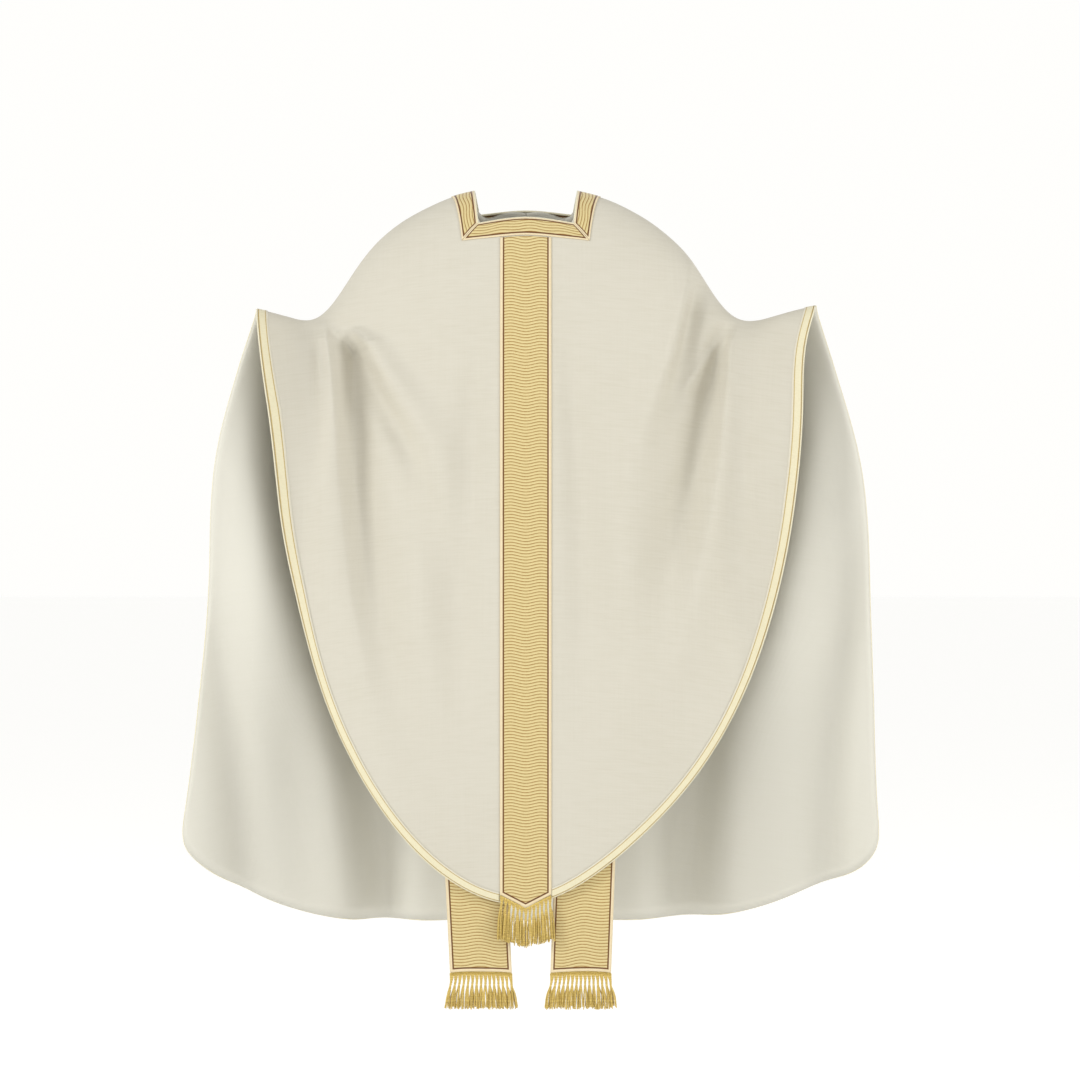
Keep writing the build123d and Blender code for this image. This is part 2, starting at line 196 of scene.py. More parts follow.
def fold_height(x, z, folds):
    """How far the folds lift the cloth at x and z."""
    height = np.zeros_like(x)
    for stops in folds:
        rows = np.array(stops, float)[::-1]
        middle, tall, left, right = [
            np.interp(z, rows[:, 1], rows[:, k], left=rows[0, k], right=rows[-1, k])
            for k in (0, 2, 3, 4)
        ]
        away = x - middle
        soft = np.where(away < 0, left, right)
        tall = np.where(z > rows[-1, 1], 0, tall)
        height += FOLD_SCALE * tall * np.exp(-((away / soft) ** 2))
    return height


def folded_surface(x, q):
    """Points of the cloth with its folds, in millimetres."""
    base = smooth_surface(x, q)
    x, q = np.broadcast_arrays(np.asarray(x, float), np.asarray(q, float))
    front = fold_height(x, base[..., 2], FRONT_FOLDS)
    back = fold_height(x, base[..., 2], BACK_FOLDS)
    ease = 1 - np.exp(-((q / FOLD_START) ** 2))
    height = np.where(q > 0, front, back) * ease
    return base + facing(smooth_surface, x, q) * height[..., None]


def lifted(x, q, lift):
    """The folded cloth moved out by a lift, in metres."""
    return (folded_surface(x, q) + facing(folded_surface, x, q) * np.asarray(lift)[..., None]) * MM


print("folds:", len(FRONT_FOLDS), "in front and", len(BACK_FOLDS), "behind")

# %% [markdown]
# ## Rails and sheets
# A tailor cuts a panel between two edges: the neck and the hem. The same idea makes a
# clean mesh: two rails with the same number of points, and straight rows between them. The
# rows fan out from the neck, so the hem gets a smooth edge that a braid can follow.
# Each sheet also carries a "weave" vector per point, in metres: across the cloth, along
# it, and the distance to a cut end. The materials read it, so threads run the right way.

# %% Rails
FRONT_HEM = {
    1: [(504, -200), (486, -264), (480, -367), (473, -489), (451, -645), (416, -785),
        (364, -915), (286, -1037), (199, -1129), (112, -1199), (46, -1234), (0, -1247)],
    -1: [(-467, -205), (-458, -298), (-441, -454), (-428, -576), (-393, -750),
         (-341, -915), (-263, -1063), (-167, -1176), (-46, -1241), (0, -1247)],
}
BACK_HEM = {
    1: [(504, -200), (545, -330), (588, -500), (602, -700), (612, -900), (623, -1100),
        (620, -1160), (596, -1192), (525, -1228), (422, -1268), (313, -1290),
        (160, -1300), (0, -1302)],
    -1: [(-467, -205), (-508, -330), (-546, -500), (-552, -690), (-575, -900),
         (-604, -1095), (-604, -1155), (-578, -1188), (-496, -1241), (-389, -1282),
         (-308, -1295), (-160, -1300), (0, -1302)],
}
NECK_EDGE = {"shoulder": 92, "front": (85, -77.5, -77.7), "back": (85, 62, 64)}
BAND_EDGE = {"shoulder": 133, "front": (112, -87.1, -89.5), "back": (111, 78, 82)}
SEAM = 0.4
CREST_Q = 0.03


def distances(points):
    """How far along a row of points each one lies."""
    return np.concatenate([[0], np.cumsum(np.linalg.norm(np.diff(points, axis=0), axis=1))])


def spline(points, count):
    """Points on a smooth curve through the given ones, by a natural cubic spline."""
    points = np.array(points, float)
    t = distances(points)
    n = len(t)
    system = np.eye(n)
    right = np.zeros_like(points)
    for i in range(1, n - 1):
        h0, h1 = t[i] - t[i - 1], t[i + 1] - t[i]
        system[i, i - 1:i + 2] = h0, 2 * (h0 + h1), h1
        right[i] = 6 * ((points[i + 1] - points[i]) / h1 - (points[i] - points[i - 1]) / h0)
    bends = np.linalg.solve(system, right)
    at = np.linspace(0, t[-1], count)
    i = np.clip(np.searchsorted(t, at, side="right") - 1, 0, n - 2)
    h = (t[i + 1] - t[i])[:, None]
    a, b = (t[i + 1] - at)[:, None] / h, (at - t[i])[:, None] / h
    curve = (a ** 3 - a) * bends[i] + (b ** 3 - b) * bends[i + 1]
    return a * points[i] + b * points[i + 1] + curve * h ** 2 / 6


def even(rail, count):
    """A rail's (x, q) points moved to equal steps on the cloth."""
    marks = distances(smooth_surface(rail[:, 0], rail[:, 1]))
    goals = np.linspace(0, marks[-1], count)
    return np.stack([np.interp(goals, marks, rail[:, k]) for k in (0, 1)], -1)


def drop(x, z, side):
    """q at x and z, in front for side 1 and behind for side -1."""
    room = np.maximum(arm_line(np.asarray(x, float))[1] - z, 0)
    return side * np.maximum(np.sqrt(room), CREST_Q)


def hem_rail(hem, side, count, inset=0.0, start=SEAM):
    """A hem moved in by an inset, from near the middle to the wrist."""
    way = math.copysign(1, hem[0][0])
    points = np.array(hem, float)
    low = np.maximum(np.arange(len(points)) - 1, 0)
    high = np.minimum(np.arange(len(points)) + 1, len(points) - 1)
    run = points[high] - points[low]
    run /= np.linalg.norm(run, axis=1, keepdims=True)
    moved = points + inset * way * np.stack([run[:, 1], -run[:, 0]], -1)
    moved[0] = points[0] - (way * inset, 0)
    moved[-1] = points[-1] + (0, inset)
    curve = spline(moved[::-1], 1600)
    curve = curve[np.abs(curve[:, 0]) >= start]
    rail = np.stack([curve[:, 0], drop(curve[:, 0], curve[:, 1], side)], -1)
    rail = np.vstack([[way * start, rail[0, 1]], rail])
    rail[-1, 1] = side * CREST_Q
    return even(rail, count)


def plan_q(x, y, side):
    """q of the point of the cloth that is at x and y, seen from above."""
    depth = along(FRONT_DEPTH if side > 0 else BACK_DEPTH, np.abs(x))
    turn = depth / np.sqrt(2 * along(BEND_RADIUS, np.abs(x)))
    return side * np.maximum(turn * np.arctanh(np.minimum(np.abs(y) / depth, 0.99)), CREST_Q)


def neck_rail(way, side, count, inset=0.0):
    """The cloth's neck edge, from the middle to the shoulder."""
    x, y, middle = NECK_EDGE["front" if side > 0 else "back"]
    shoulder = NECK_EDGE["shoulder"] + 1 + inset
    x, y, middle = x + inset, y - side * (1 + inset), middle - side * (1 + inset)
    points = [(0, middle), (x * 0.5, middle * 0.3 + y * 0.7), (x - 7, y), (x, y * 0.9),
              (shoulder - 2, y * 0.45), (shoulder, 0)]
    curve = spline(points, count)
    x, y = curve[:, 0], curve[:, 1]
    return np.stack([way * np.maximum(x, SEAM), plan_q(x, y, side)], -1)


def fan(rail_a, rail_b, across):
    """Rows of (x, q) between two rails."""
    t = np.linspace(0, 1, across)[None, :, None]
    return rail_a[:, None, :] * (1 - t) + rail_b[:, None, :] * t


print("left front hem points:", len(hem_rail(FRONT_HEM[1], 1, 60)))

# %% [markdown]
# Every piece is made the same way: points, faces, the weave vectors and a finish, on the
# body that it moves with. A sheet also gets its thickness, half to each side.

# %% Sheets
def woven_piece(name, points, faces, weave, material, body):
    """One mesh with its weave vectors, on the body that it moves with."""
    mesh = bpy.data.meshes.new(name)
    mesh.from_pydata(points.tolist(), [], faces)
    layer = mesh.attributes.new("weave", "FLOAT_VECTOR", "POINT")
    layer.data.foreach_set("vector", weave.reshape(-1).astype(np.float32))
    mesh.shade_smooth()
    mesh.materials.append(material)
    piece = bpy.data.objects.new(name, mesh)
    bpy.context.scene.collection.objects.link(piece)
    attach(piece, body)
    return piece


def grid_object(name, points, weave, thickness, material, body):
    """A sheet over a grid of points, with a real thickness in millimetres."""
    rows, columns = points.shape[:2]
    index = np.arange(rows * columns).reshape(rows, columns)
    faces = np.stack([index[:-1, :-1], index[1:, :-1], index[1:, 1:], index[:-1, 1:]], -1)
    piece = woven_piece(
        name, points.reshape(-1, 3), faces.reshape(-1, 4).tolist(), weave, material, body)
    solid = piece.modifiers.new("thickness", "SOLIDIFY")
    solid.thickness = thickness * MM
    solid.offset = 0
    solid.use_even_offset = True
    return piece


def area_of(points):
    """The area of a grid, in square metres."""
    a = points[1:, :-1] - points[:-1, :-1]
    b = points[:-1, 1:] - points[:-1, :-1]
    return float(np.linalg.norm(np.cross(a, b), axis=-1).sum())


def outward(points, way, side):
    """The grid with its faces turned outwards."""
    return points if way * side > 0 else points[::-1]


print("a sheet is a grid of quads with a weave vector at each point")

# %% [markdown]
# ## Finishes
# The cloth is taken as a light wool blend in plain weave. Its threads are finer than the
# eye can split at arm's length, but slubs and slight colour changes show as faint streaks.
# So each material runs its noise along the weave vector: long in the weft, short in the
# warp. One small class gives the nodes short names.

# %% Material helpers
def linear(colour):
    """An 8-bit screen colour as a linear one."""
    steps = [c / 255 for c in colour]
    return [c / 12.92 if c < 0.04045 else ((c + 0.055) / 1.055) ** 2.4 for c in steps] + [1.0]


class Nodes:
    """Short names for building one material's node tree."""

    def __init__(self, name, roughness, sheen=0.0, coat=0.0):
        self.material = bpy.data.materials.new(name)
        self.material.use_nodes = True
        self.tree = self.material.node_tree
        self.shader = self.tree.nodes["Principled BSDF"]
        self.shader.inputs["Roughness"].default_value = roughness
        self.shader.inputs["Sheen Weight"].default_value = sheen
        self.shader.inputs["Sheen Roughness"].default_value = 0.45
        self.shader.inputs["Coat Weight"].default_value = coat
        self.shader.inputs["Specular IOR Level"].default_value = 0.3
        weave = self.tree.nodes.new("ShaderNodeAttribute")
        weave.attribute_name = "weave"
        split = self.tree.nodes.new("ShaderNodeSeparateXYZ")
        self.join(weave.outputs["Vector"], split.inputs[0])
        self.u, self.v, self.e = split.outputs

    def join(self, a, b):
        self.tree.links.new(a, b)

    def math(self, kind, a, b=0.0, c=0.0):
        """One math node."""
        node = self.tree.nodes.new("ShaderNodeMath")
        node.operation = kind
        for socket, value in zip(node.inputs, (a, b, c)):
            if isinstance(value, (int, float)):
                socket.default_value = value
            else:
                self.join(value, socket)
        return node.outputs[0]

    def vector(self, x, y, z=0.0):
        """A vector from numbers or sockets."""
        node = self.tree.nodes.new("ShaderNodeCombineXYZ")
        for socket, value in zip(node.inputs, (x, y, z)):
            if isinstance(value, (int, float)):
                socket.default_value = value
            else:
                self.join(value, socket)
        return node.outputs[0]

    def noise(self, across, along_it, detail=3.0, seed=0.0):
        """Noise with that many grains to a metre across and along the threads."""
        node = self.tree.nodes.new("ShaderNodeTexNoise")
        node.inputs["Scale"].default_value = 1.0
        node.inputs["Detail"].default_value = detail
        place = self.vector(
            self.math("MULTIPLY", self.u, across), self.math("MULTIPLY", self.v, along_it), seed
        )
        self.join(place, node.inputs["Vector"])
        return node.outputs["Fac"]

    def ramp(self, value, low, high, smooth=True):
        """0 below low, 1 above high."""
        node = self.tree.nodes.new("ShaderNodeMapRange")
        node.interpolation_type = "SMOOTHSTEP" if smooth else "LINEAR"
        node.inputs["From Min"].default_value = low
        node.inputs["From Max"].default_value = high
        self.join(value, node.inputs["Value"])
        return node.outputs["Result"]

    def mix(self, share, a, b):
        """A colour between two colours."""
        node = self.tree.nodes.new("ShaderNodeMix")
        node.data_type = "RGBA"
        sockets = [s for s in node.inputs if s.enabled]
        for socket, value in zip(sockets, (share, a, b)):
            if isinstance(value, (list, tuple, float, int)):
                socket.default_value = value
            else:
                self.join(value, socket)
        return [s for s in node.outputs if s.enabled][0]

    def colour(self, value):
        self.join(value, self.shader.inputs["Base Color"])

    def bump(self, height, depth, strength=1.0):
        """Fine relief of that depth in metres."""
        node = self.tree.nodes.new("ShaderNodeBump")
        node.inputs["Strength"].default_value = strength
        node.inputs["Distance"].default_value = depth
        self.join(height, node.inputs["Height"])
        self.join(node.outputs["Normal"], self.shader.inputs["Normal"])


def stripes(n, value, pitch):
    """A smooth wave from 0 to 1 with that pitch in metres."""
    turned = n.math("MULTIPLY", value, 2 * math.pi / pitch)
    return n.math("MULTIPLY_ADD", n.math("SINE", turned), 0.5, 0.5)


print("linear white:", linear((255, 255, 255))[:3])

# %% [markdown]
# The outer cloth is warm white with faint streaks, and the lining is a little smoother and
# paler. Both take a pale and a deep tone of one colour.

# %% Cloth and lining
def cloth_material(name, pale, deep, rough, sheen, streak):
    """A plain weave with slubs along the weft."""
    n = Nodes(name, rough, sheen)
    slubs = n.noise(26, 380, 4.0, 1.3)
    ends = n.noise(520, 5, 3.0, 4.1)
    cloud = n.noise(3.2, 2.6, 2.0, 7.7)
    tone = n.math("MULTIPLY_ADD", slubs, streak, n.math("MULTIPLY_ADD", ends, streak * 0.4, 0.0))
    tone = n.math("MULTIPLY_ADD", cloud, 0.35, tone)
    n.colour(n.mix(n.ramp(tone, 0.35, 1.15), linear(pale), linear(deep)))
    threads = n.math("ADD", stripes(n, n.v, 0.0016), stripes(n, n.u, 0.0014))
    n.bump(n.math("MULTIPLY_ADD", slubs, 1.4, threads), 0.00012, 0.6)
    return n.material


OUTER = cloth_material("outer cloth", (203, 198, 184), (190, 184, 166), 0.85, 0.1, 0.55)
LINING = cloth_material("lining cloth", (213, 210, 198), (205, 201, 185), 0.6, 0.1, 0.4)
TAPE = cloth_material("seam tape", (214, 208, 192), (196, 188, 168), 0.85, 0.1, 0.9)
print("cloth, lining and tape mixed")

# %% [markdown]
# The column, the neck band and the stole are one woven brocade: rows of thin brown-gold
# lines that rise and fall over the width, with a plain selvedge and one dark line inside
# it. The pattern turns with the cut: the dark line also follows the ends and the mitres, so
# the third weave number says how far a point is from such an end.

# %% Brocade, braid and thread
WAVE_PITCH = 0.0054


def brocade_material(name, width, lengthwise=False, margin=0.0045):
    """Waving lines between two dark border lines on a band of that width."""
    n = Nodes(name, 0.62, 0.3)
    share = n.math("DIVIDE", n.u, width)
    if lengthwise:
        hump = n.math("COSINE", n.math("MULTIPLY", n.v, 2 * math.pi / 0.054))
        rise = n.math("MULTIPLY_ADD", hump, 0.0012, n.u)
    else:
        # one and two thirds waves over the width
        hump = n.math("COSINE", n.math("MULTIPLY_ADD", share, 10.47, -2.094))
        rise = n.math("MULTIPLY_ADD", hump, 0.0021, n.v)
    lines = stripes(n, rise, WAVE_PITCH)
    thin = n.ramp(lines, 0.62, 0.97)
    second = n.math("MULTIPLY", n.ramp(stripes(n, rise, WAVE_PITCH / 2), 0.6, 0.98), 0.3)
    worn = n.math("MULTIPLY_ADD", n.ramp(n.noise(240, 160, 3.0, 2.2), 0.1, 0.7), 0.3, 0.7)
    share_line = n.math("MULTIPLY", n.math("MAXIMUM", thin, second), worn)
    field = n.mix(share_line, linear((214, 197, 143)), linear((154, 116, 54)))
    edge = n.math("MINIMUM", n.u, n.math("SUBTRACT", width, n.u))
    edge = n.math("MINIMUM", edge, n.e)
    plain = n.mix(n.noise(60, 700, 3.0, 5.5), linear((230, 214, 180)), linear((216, 196, 156)))
    inside = n.ramp(edge, margin + 0.0026, margin + 0.0032)
    brown_in = n.ramp(edge, margin, margin + 0.0006)
    tone = n.mix(brown_in, plain, linear((104, 66, 30)))
    n.colour(n.mix(inside, tone, field))
    raised = n.math("MULTIPLY", thin, inside)
    cords = n.math("MULTIPLY", brown_in, n.math("SUBTRACT", 1.0, inside))
    ribs = n.math("MULTIPLY", stripes(n, n.v, 0.0011), 0.3)
    n.bump(n.math("ADD", n.math("ADD", raised, cords), ribs), 0.00035, 0.8)
    return n.material


ORPHREY = brocade_material("orphrey brocade", 0.090)
STOLE = brocade_material("stole brocade", 0.107)


def galloon_material():
    """The hem braid: a line, a pale band, a line and a selvedge, from the edge inwards."""
    n = Nodes("hem braid", 0.6, 0.25)
    grain = n.noise(300, 500, 3.0, 3.3)
    gold = n.mix(grain, linear((200, 178, 122)), linear((168, 142, 84)))
    pale = n.mix(grain, linear((230, 223, 194)), linear((218, 208, 172)))
    plain = n.mix(grain, linear((222, 217, 200)), linear((210, 203, 182)))
    tone = n.mix(n.ramp(n.u, 0.0010, 0.0016), gold, pale)
    tone = n.mix(n.ramp(n.u, 0.0104, 0.0110), tone, gold)
    tone = n.mix(n.ramp(n.u, 0.0118, 0.0124), tone, plain)
    n.colour(tone)
    n.bump(n.math("ADD", stripes(n, n.v, 0.0018), stripes(n, n.u, 0.0012)), 0.00025, 0.7)
    return n.material


def thread_material(name, light, dark, rough=0.5):
    """Spun yarn with darker spots, painted shade between strands, scattered at random by noise."""
    n = Nodes(name, rough, 0.4)
    # the darker tone is painted shade between the strands, spread by noise
    n.colour(n.mix(n.ramp(n.noise(500, 900, 2.0, 6.1), 0.3, 0.7), linear(light), linear(dark)))
    n.bump(stripes(n, n.v, 0.0009), 0.0002, 0.6)
    return n.material


GALLOON = galloon_material()
GOLD = thread_material("gold yarn", (236, 210, 122), (176, 144, 62))
PIPING = thread_material("edge cord", (230, 224, 200), (216, 207, 174), 0.7)
print("brocade lines every", WAVE_PITCH * 1000, "mm")

# %% [markdown]
# ## The four large pieces and their linings
# Front and back are cut in two halves that meet under the woven column. The lining hangs
# 4 mm inside and comes up to the cloth over the last 14 mm, where the two are sewn. The
# shoulder seam is taped so that the weight of the bell can't stretch it.

# %% Cloth, lining and shoulder tape
# rows and columns of the meshes
CLOTH_GRID = (250, 160)
LINING_GRID = (150, 90)
# how far out from the cloth's face the middle of each layer lies, in millimetres
CLOTH_LIFT = -0.5
TAPE_LIFT = -2.4
LINING_LIFT = -4.2
LINING_HEM_LIFT = -1.5
SEWN_WIDTH = 14


def droop(x):
    """How far the weft sags towards the sides, since the cloth hangs on the bias there."""
    return 0.00022 * x * x


def panel(hem, side, lift, rows, columns, hem_lift=None):
    """One half of the front or back as points and weave vectors, fanned between its two rails."""
    way = math.copysign(1, hem[0][0])
    grid = fan(neck_rail(way, side, rows), hem_rail(hem, side, rows), columns)
    x, q = grid[..., 0], grid[..., 1]
    lifts = np.full(x.shape, float(lift))
    if hem_lift is not None:
        gone = np.linalg.norm(np.diff(smooth_surface(x, q), axis=1), axis=-1)
        left = np.cumsum(gone[:, ::-1], axis=1)[:, ::-1]
        left = np.concatenate([left, np.zeros((rows, 1))], axis=1)
        share = np.clip(1 - left / SEWN_WIDTH, 0, 1) ** 2
        lifts = lift + (hem_lift - lift) * share
    points = lifted(x, q, lifts)
    weave = np.stack([x * MM, -points[..., 2] - droop(x) * MM, np.ones_like(x)], -1)
    return outward(points, way, side), outward(weave, way, side)


cloths = []
linings = []
for word, way in (("left", 1), ("right", -1)):
    for place, side, hems in (("front", 1, FRONT_HEM), ("back", -1, BACK_HEM)):
        points, weave = panel(hems[way], side, CLOTH_LIFT, *CLOTH_GRID)
        name = f"{place}_cloth_{word}"
        cloth = grid_object(name, points, weave, 0.9, OUTER, "chasuble")
        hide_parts(f"{place}_panel_{word}")
        cloths.append(cloth)
        inner, weave = panel(hems[way], side, LINING_LIFT, *LINING_GRID, LINING_HEM_LIFT)
        lining = grid_object(
            f"{place}_inner_{word}", inner, weave, 0.5, LINING, "chasuble")
        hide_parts(f"{place}_lining_{word}")
        linings.append(lining)
        print(name, "covers", round(area_of(points), 3), "m2")


def shoulder_tape(way, end):
    """The tape under the seam, from the neck to the wrist."""
    x = np.linspace(way * 98, end, 120)[:, None]
    q = np.linspace(-1.09, 1.09, 13)[None, :]
    x, q = np.broadcast_arrays(x, q)
    points = lifted(x, q, np.full(x.shape, TAPE_LIFT))
    weave = np.stack([q * 0.011, x * MM, np.ones_like(x)], -1)
    return points[:, ::-way], weave[:, ::-way]


for word, way in (("left", 1), ("right", -1)):
    points, weave = shoulder_tape(way, FRONT_HEM[way][0][0] - way * 6)
    tape = grid_object(f"tape_{word}", points, weave, 0.6, TAPE, "chasuble")
    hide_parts(f"shoulder_tape_{word}")
print("sheets:", len(cloths) + len(linings))

# %% [markdown]
# ## Hem braid and edge cord
# The hem is the line everyone sees, so it is finished twice: a woven braid 15 mm wide on
# the face, and a thin rolled edge that covers the cut. Braid laid on a curve keeps its
# width, which is why it is built between two rails the same distance apart.

# %% Braid and rolled edge
BRAID_WIDTH = 15.0
BRAID_LIFT = 0.75
# from the hem in to the braid's edge, and from the middle out to where it starts
BRAID_INSET = 1.2
BRAID_START = 45.6
ROLL_RADIUS = 0.0013


def tube(points, radii, sides=6):
    """Vertices and faces of a closed tube along points."""
    points = np.asarray(points, float)
    radii = np.broadcast_to(np.asarray(radii, float), len(points))
    run = np.gradient(points, axis=0)
    run /= np.linalg.norm(run, axis=1, keepdims=True)
    hint = np.array([0.0, 1.0, 0.0]) if abs(run[0][1]) < 0.9 else np.array([1.0, 0.0, 0.0])
    sideways = np.empty_like(points)
    for i, tangent in enumerate(run):
        hint = hint - tangent * (hint @ tangent)
        hint /= np.linalg.norm(hint)
        sideways[i] = hint
    other = np.cross(run, sideways)
    turn = np.arange(sides) * 2 * math.pi / sides
    ring = sideways[:, None] * np.cos(turn)[:, None] + other[:, None] * np.sin(turn)[:, None]
    vertices = points[:, None] + ring * radii[:, None, None]
    index = np.arange(len(points) * sides).reshape(len(points), sides)
    after = np.roll(index, -1, axis=1)
    faces = np.stack([index[:-1], after[:-1], after[1:], index[1:]], -1).reshape(-1, 4).tolist()
    faces += [list(index[0][::-1]), list(index[-1])]
    lengths = distances(points)
    weave = np.stack(
        [
            np.broadcast_to(turn * radii.mean(), index.shape),
            np.broadcast_to(lengths[:, None], index.shape),
            np.ones(index.shape),
        ],
        -1,
    )
    return vertices.reshape(-1, 3), faces, weave.reshape(-1, 3)


def joined(name, parts, material, body):
    """One mesh from many (vertices, faces, weave) parts."""
    vertices, faces, weave, start = [], [], [], 0
    for v, f, w in parts:
        vertices.append(v)
        weave.append(w)
        faces += [[int(k) + start for k in face] for face in f]
        start += len(v)
    return woven_piece(
        name, np.vstack(vertices), faces, np.vstack(weave), material, body)


def braid(hem, side, inset, width, lift, start):
    """A flat braid along one half's hem."""
    way = math.copysign(1, hem[0][0])
    outer = hem_rail(hem, side, 420, inset, start)
    inner = hem_rail(hem, side, 420, inset + width, start)
    grid = fan(outer, inner, 9)
    points = lifted(grid[..., 0], grid[..., 1], np.full(grid.shape[:2], lift))
    far = distances(points[:, 0])[:, None]
    wide = np.linspace(0, width * MM, 9)[None, :]
    far, wide = np.broadcast_arrays(far, wide)
    weave = np.stack([wide, far, np.ones_like(far)], -1)
    return outward(points, -way, side), outward(weave, -way, side)


for word, way in (("left", 1), ("right", -1)):
    for place, side, hems in (("front", 1, FRONT_HEM), ("back", -1, BACK_HEM)):
        points, weave = braid(
            hems[way], side, BRAID_INSET, BRAID_WIDTH, BRAID_LIFT, BRAID_START)
        name = f"{place}_braid_{word}"
        piece = grid_object(name, points, weave, 0.9, GALLOON, "chasuble")
        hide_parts(f"{place}_galloon_{word}")
        edge = hem_rail(hems[way], side, 420, 0.3)
        path = lifted(edge[:, 0], edge[:, 1], np.full(len(edge), CLOTH_LIFT))
        joined(
            f"{place}_rolled_edge_{word}", [tube(path, ROLL_RADIUS, 8)], PIPING,
            "chasuble")

# %% [markdown]
# ## The woven column and the neck band
# The column is a straight strip of brocade that comes to a point at its foot. The neck band
# is four strips of the same weave with mitred corners, so its lines run round the neck and
# meet in a slanted seam at each corner.

# %% Column
# z of the foot at its sides and at its point, in front (1) and behind (-1)
COLUMN_END = {1: (-1228, -1251), -1: (-1283, -1306)}
COLUMN_HALF = 45
TRIM_LIFT = 1.0


def band_y(edge, x, side):
    """y of a neck curve at x, on its front or back."""
    half, corner, middle = edge["front" if side > 0 else "back"]
    return middle + (corner - middle) * (x / half) ** 2


def column(side):
    """The strip from the neck band to its point."""
    across = np.linspace(-COLUMN_HALF, COLUMN_HALF, 31)
    top_y = band_y(BAND_EDGE, across, side) - side * 0.6
    top_q = plan_q(across, top_y, side)
    top_z = arm_line(across)[1] - top_q ** 2
    side_z, point_z = COLUMN_END[side]
    end_z = point_z + (side_z - point_z) * np.abs(across) / COLUMN_HALF
    t = np.linspace(0, 1, 620)[:, None]
    z = top_z[None, :] * (1 - t) + end_z[None, :] * t
    x = np.broadcast_to(across[None, :], z.shape)
    q = side * np.sqrt(arm_line(x)[1] - z)
    points = lifted(x, q, np.full(x.shape, TRIM_LIFT))
    lean = math.hypot(COLUMN_HALF, side_z - point_z) / COLUMN_HALF
    to_end = (z - end_z) / lean
    weave = np.stack([x + COLUMN_HALF, -z, np.minimum(to_end, 900)], -1) * MM
    return (points, weave) if side < 0 else (points[:, ::-1], weave[:, ::-1])


for place, side in (("front", 1), ("back", -1)):
    points, weave = column(side)
    piece = grid_object(
        f"{place}_column", points, weave, 1.0, ORPHREY, "chasuble")
    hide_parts(f"{place}_orphrey")
    print(piece.name, "is", round(float(points[0, 0, 2] - points[-1, 0, 2]), 3), "m long")

# %% [markdown]
# The band is laid out flat, as seen from above, between its inner and outer edge, and then
# dropped on to the cloth. A thin cord rolled over its inner edge hides the cut.

# %% Neck band
BAND_WIDTH = 0.033


def plan_signed(x, y):
    """q at x and y seen from above: above 0 in front and below 0 behind."""
    front = y < 0
    depth = np.where(front, along(FRONT_DEPTH, np.abs(x)), along(BACK_DEPTH, np.abs(x)))
    turn = depth / np.sqrt(2 * along(BEND_RADIUS, np.abs(x)))
    return -np.sign(y) * turn * np.arctanh(np.minimum(np.abs(y) / depth, 0.99))


def arc(a, middle, b, t):
    """Points of a gentle curve through three points."""
    a, middle, b = (np.array(p, float) for p in (a, middle, b))
    control = 2 * middle - (a + b) / 2
    t = np.asarray(t)[:, None]
    return a * (1 - t) ** 2 + control * 2 * t * (1 - t) + b * t * t


def corner(edge, place, way):
    return (way * edge[place][0], edge[place][1])


def band_edges(place, count):
    """The inner and outer edge of one strip of the band, seen from above."""
    t = np.linspace(0.002, 0.998, count)
    edges = []
    for edge in (NECK_EDGE, BAND_EDGE):
        if place in ("front", "back"):
            ends = corner(edge, place, -1), (0, edge[place][2]), corner(edge, place, 1)
            edges.append(arc(*ends, t))
        else:
            way = 1 if place == "left" else -1
            front, back = corner(edge, "front", way), corner(edge, "back", way)
            side = (way * edge["shoulder"], 0)
            low_middle = ((front[0] + side[0]) / 2 + way * 2, front[1] / 2)
            high_middle = ((back[0] + side[0]) / 2 + way * 2, back[1] / 2)
            low = arc(front, low_middle, side, t[::2])
            high = arc(side, high_middle, back, t[::2])
            edges.append(spline(np.vstack([low[::4], high[4::4]]), count))
    return edges


BAND_WAVE = brocade_material("neck band brocade", BAND_WIDTH, True, 0.0026)
bands = []
for place in ("front", "back", "left", "right"):
    inner, outer = band_edges(place, 240 if place in ("front", "back") else 200)
    t = np.linspace(0, 1, 21)[None, :, None]
    plan = inner[:, None] * (1 - t) + outer[:, None] * t
    x, y = plan[..., 0], plan[..., 1]
    q = plan_signed(x, y)
    points = lifted(x, q, np.full(x.shape, TRIM_LIFT))
    width = np.linalg.norm(np.diff(points, axis=1), axis=-1).sum(axis=1)
    wide = np.linspace(0, 1, 21)[None, :] * BAND_WIDTH
    far = distances(points[:, 10])
    start = np.linalg.norm(points - points[:1], axis=-1)
    stop = np.linalg.norm(points - points[-1:], axis=-1)
    to_cut = np.minimum(start, stop)
    wide, far = np.broadcast_arrays(wide, far[:, None])
    weave = np.stack([wide, far, to_cut], -1)
    a = points[1:, :-1] - points[:-1, :-1]
    b = points[:-1, 1:] - points[:-1, :-1]
    up = np.cross(b, a)[..., 2].mean()
    if up < 0:
        points, weave = points[::-1], weave[::-1]
    piece = grid_object(
        f"band_{place}", points, weave, 1.1, BAND_WAVE, "chasuble")
    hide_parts(f"neck_band_{place}")
    bands.append(piece)
    print(piece.name, "is", round(float(width.mean()) * 1000), "mm wide on the cloth")

edge_path = []
for place, step in (("front", 1), ("left", 1), ("back", -1), ("right", -1)):
    inner, outer = band_edges(place, 90)
    inner = inner[::step]
    x, y = inner[:, 0], inner[:, 1]
    edge_path.append(lifted(x, plan_signed(x, y), np.full(len(x), -0.2)))
loop = spline(np.vstack(edge_path + [edge_path[0][:1]])[::3], 420)
neck_roll = joined(
    "neck_rolled_edge", [tube(loop, 0.0019, 8)], PIPING, "chasuble")
print("the edge cord round the neck has", len(loop), "points")

# %% [markdown]
# ## The stole
# Under the chasuble lies its stole, a long strip of the same brocade that goes round the
# neck and hangs down in front. Both ends stop at the same height, below the hem of the
# chasuble. It is lined with a plain cloth, and its two halves are joined at the nape. It
# shares the chasuble's folds, so that the two don't cut through each other.

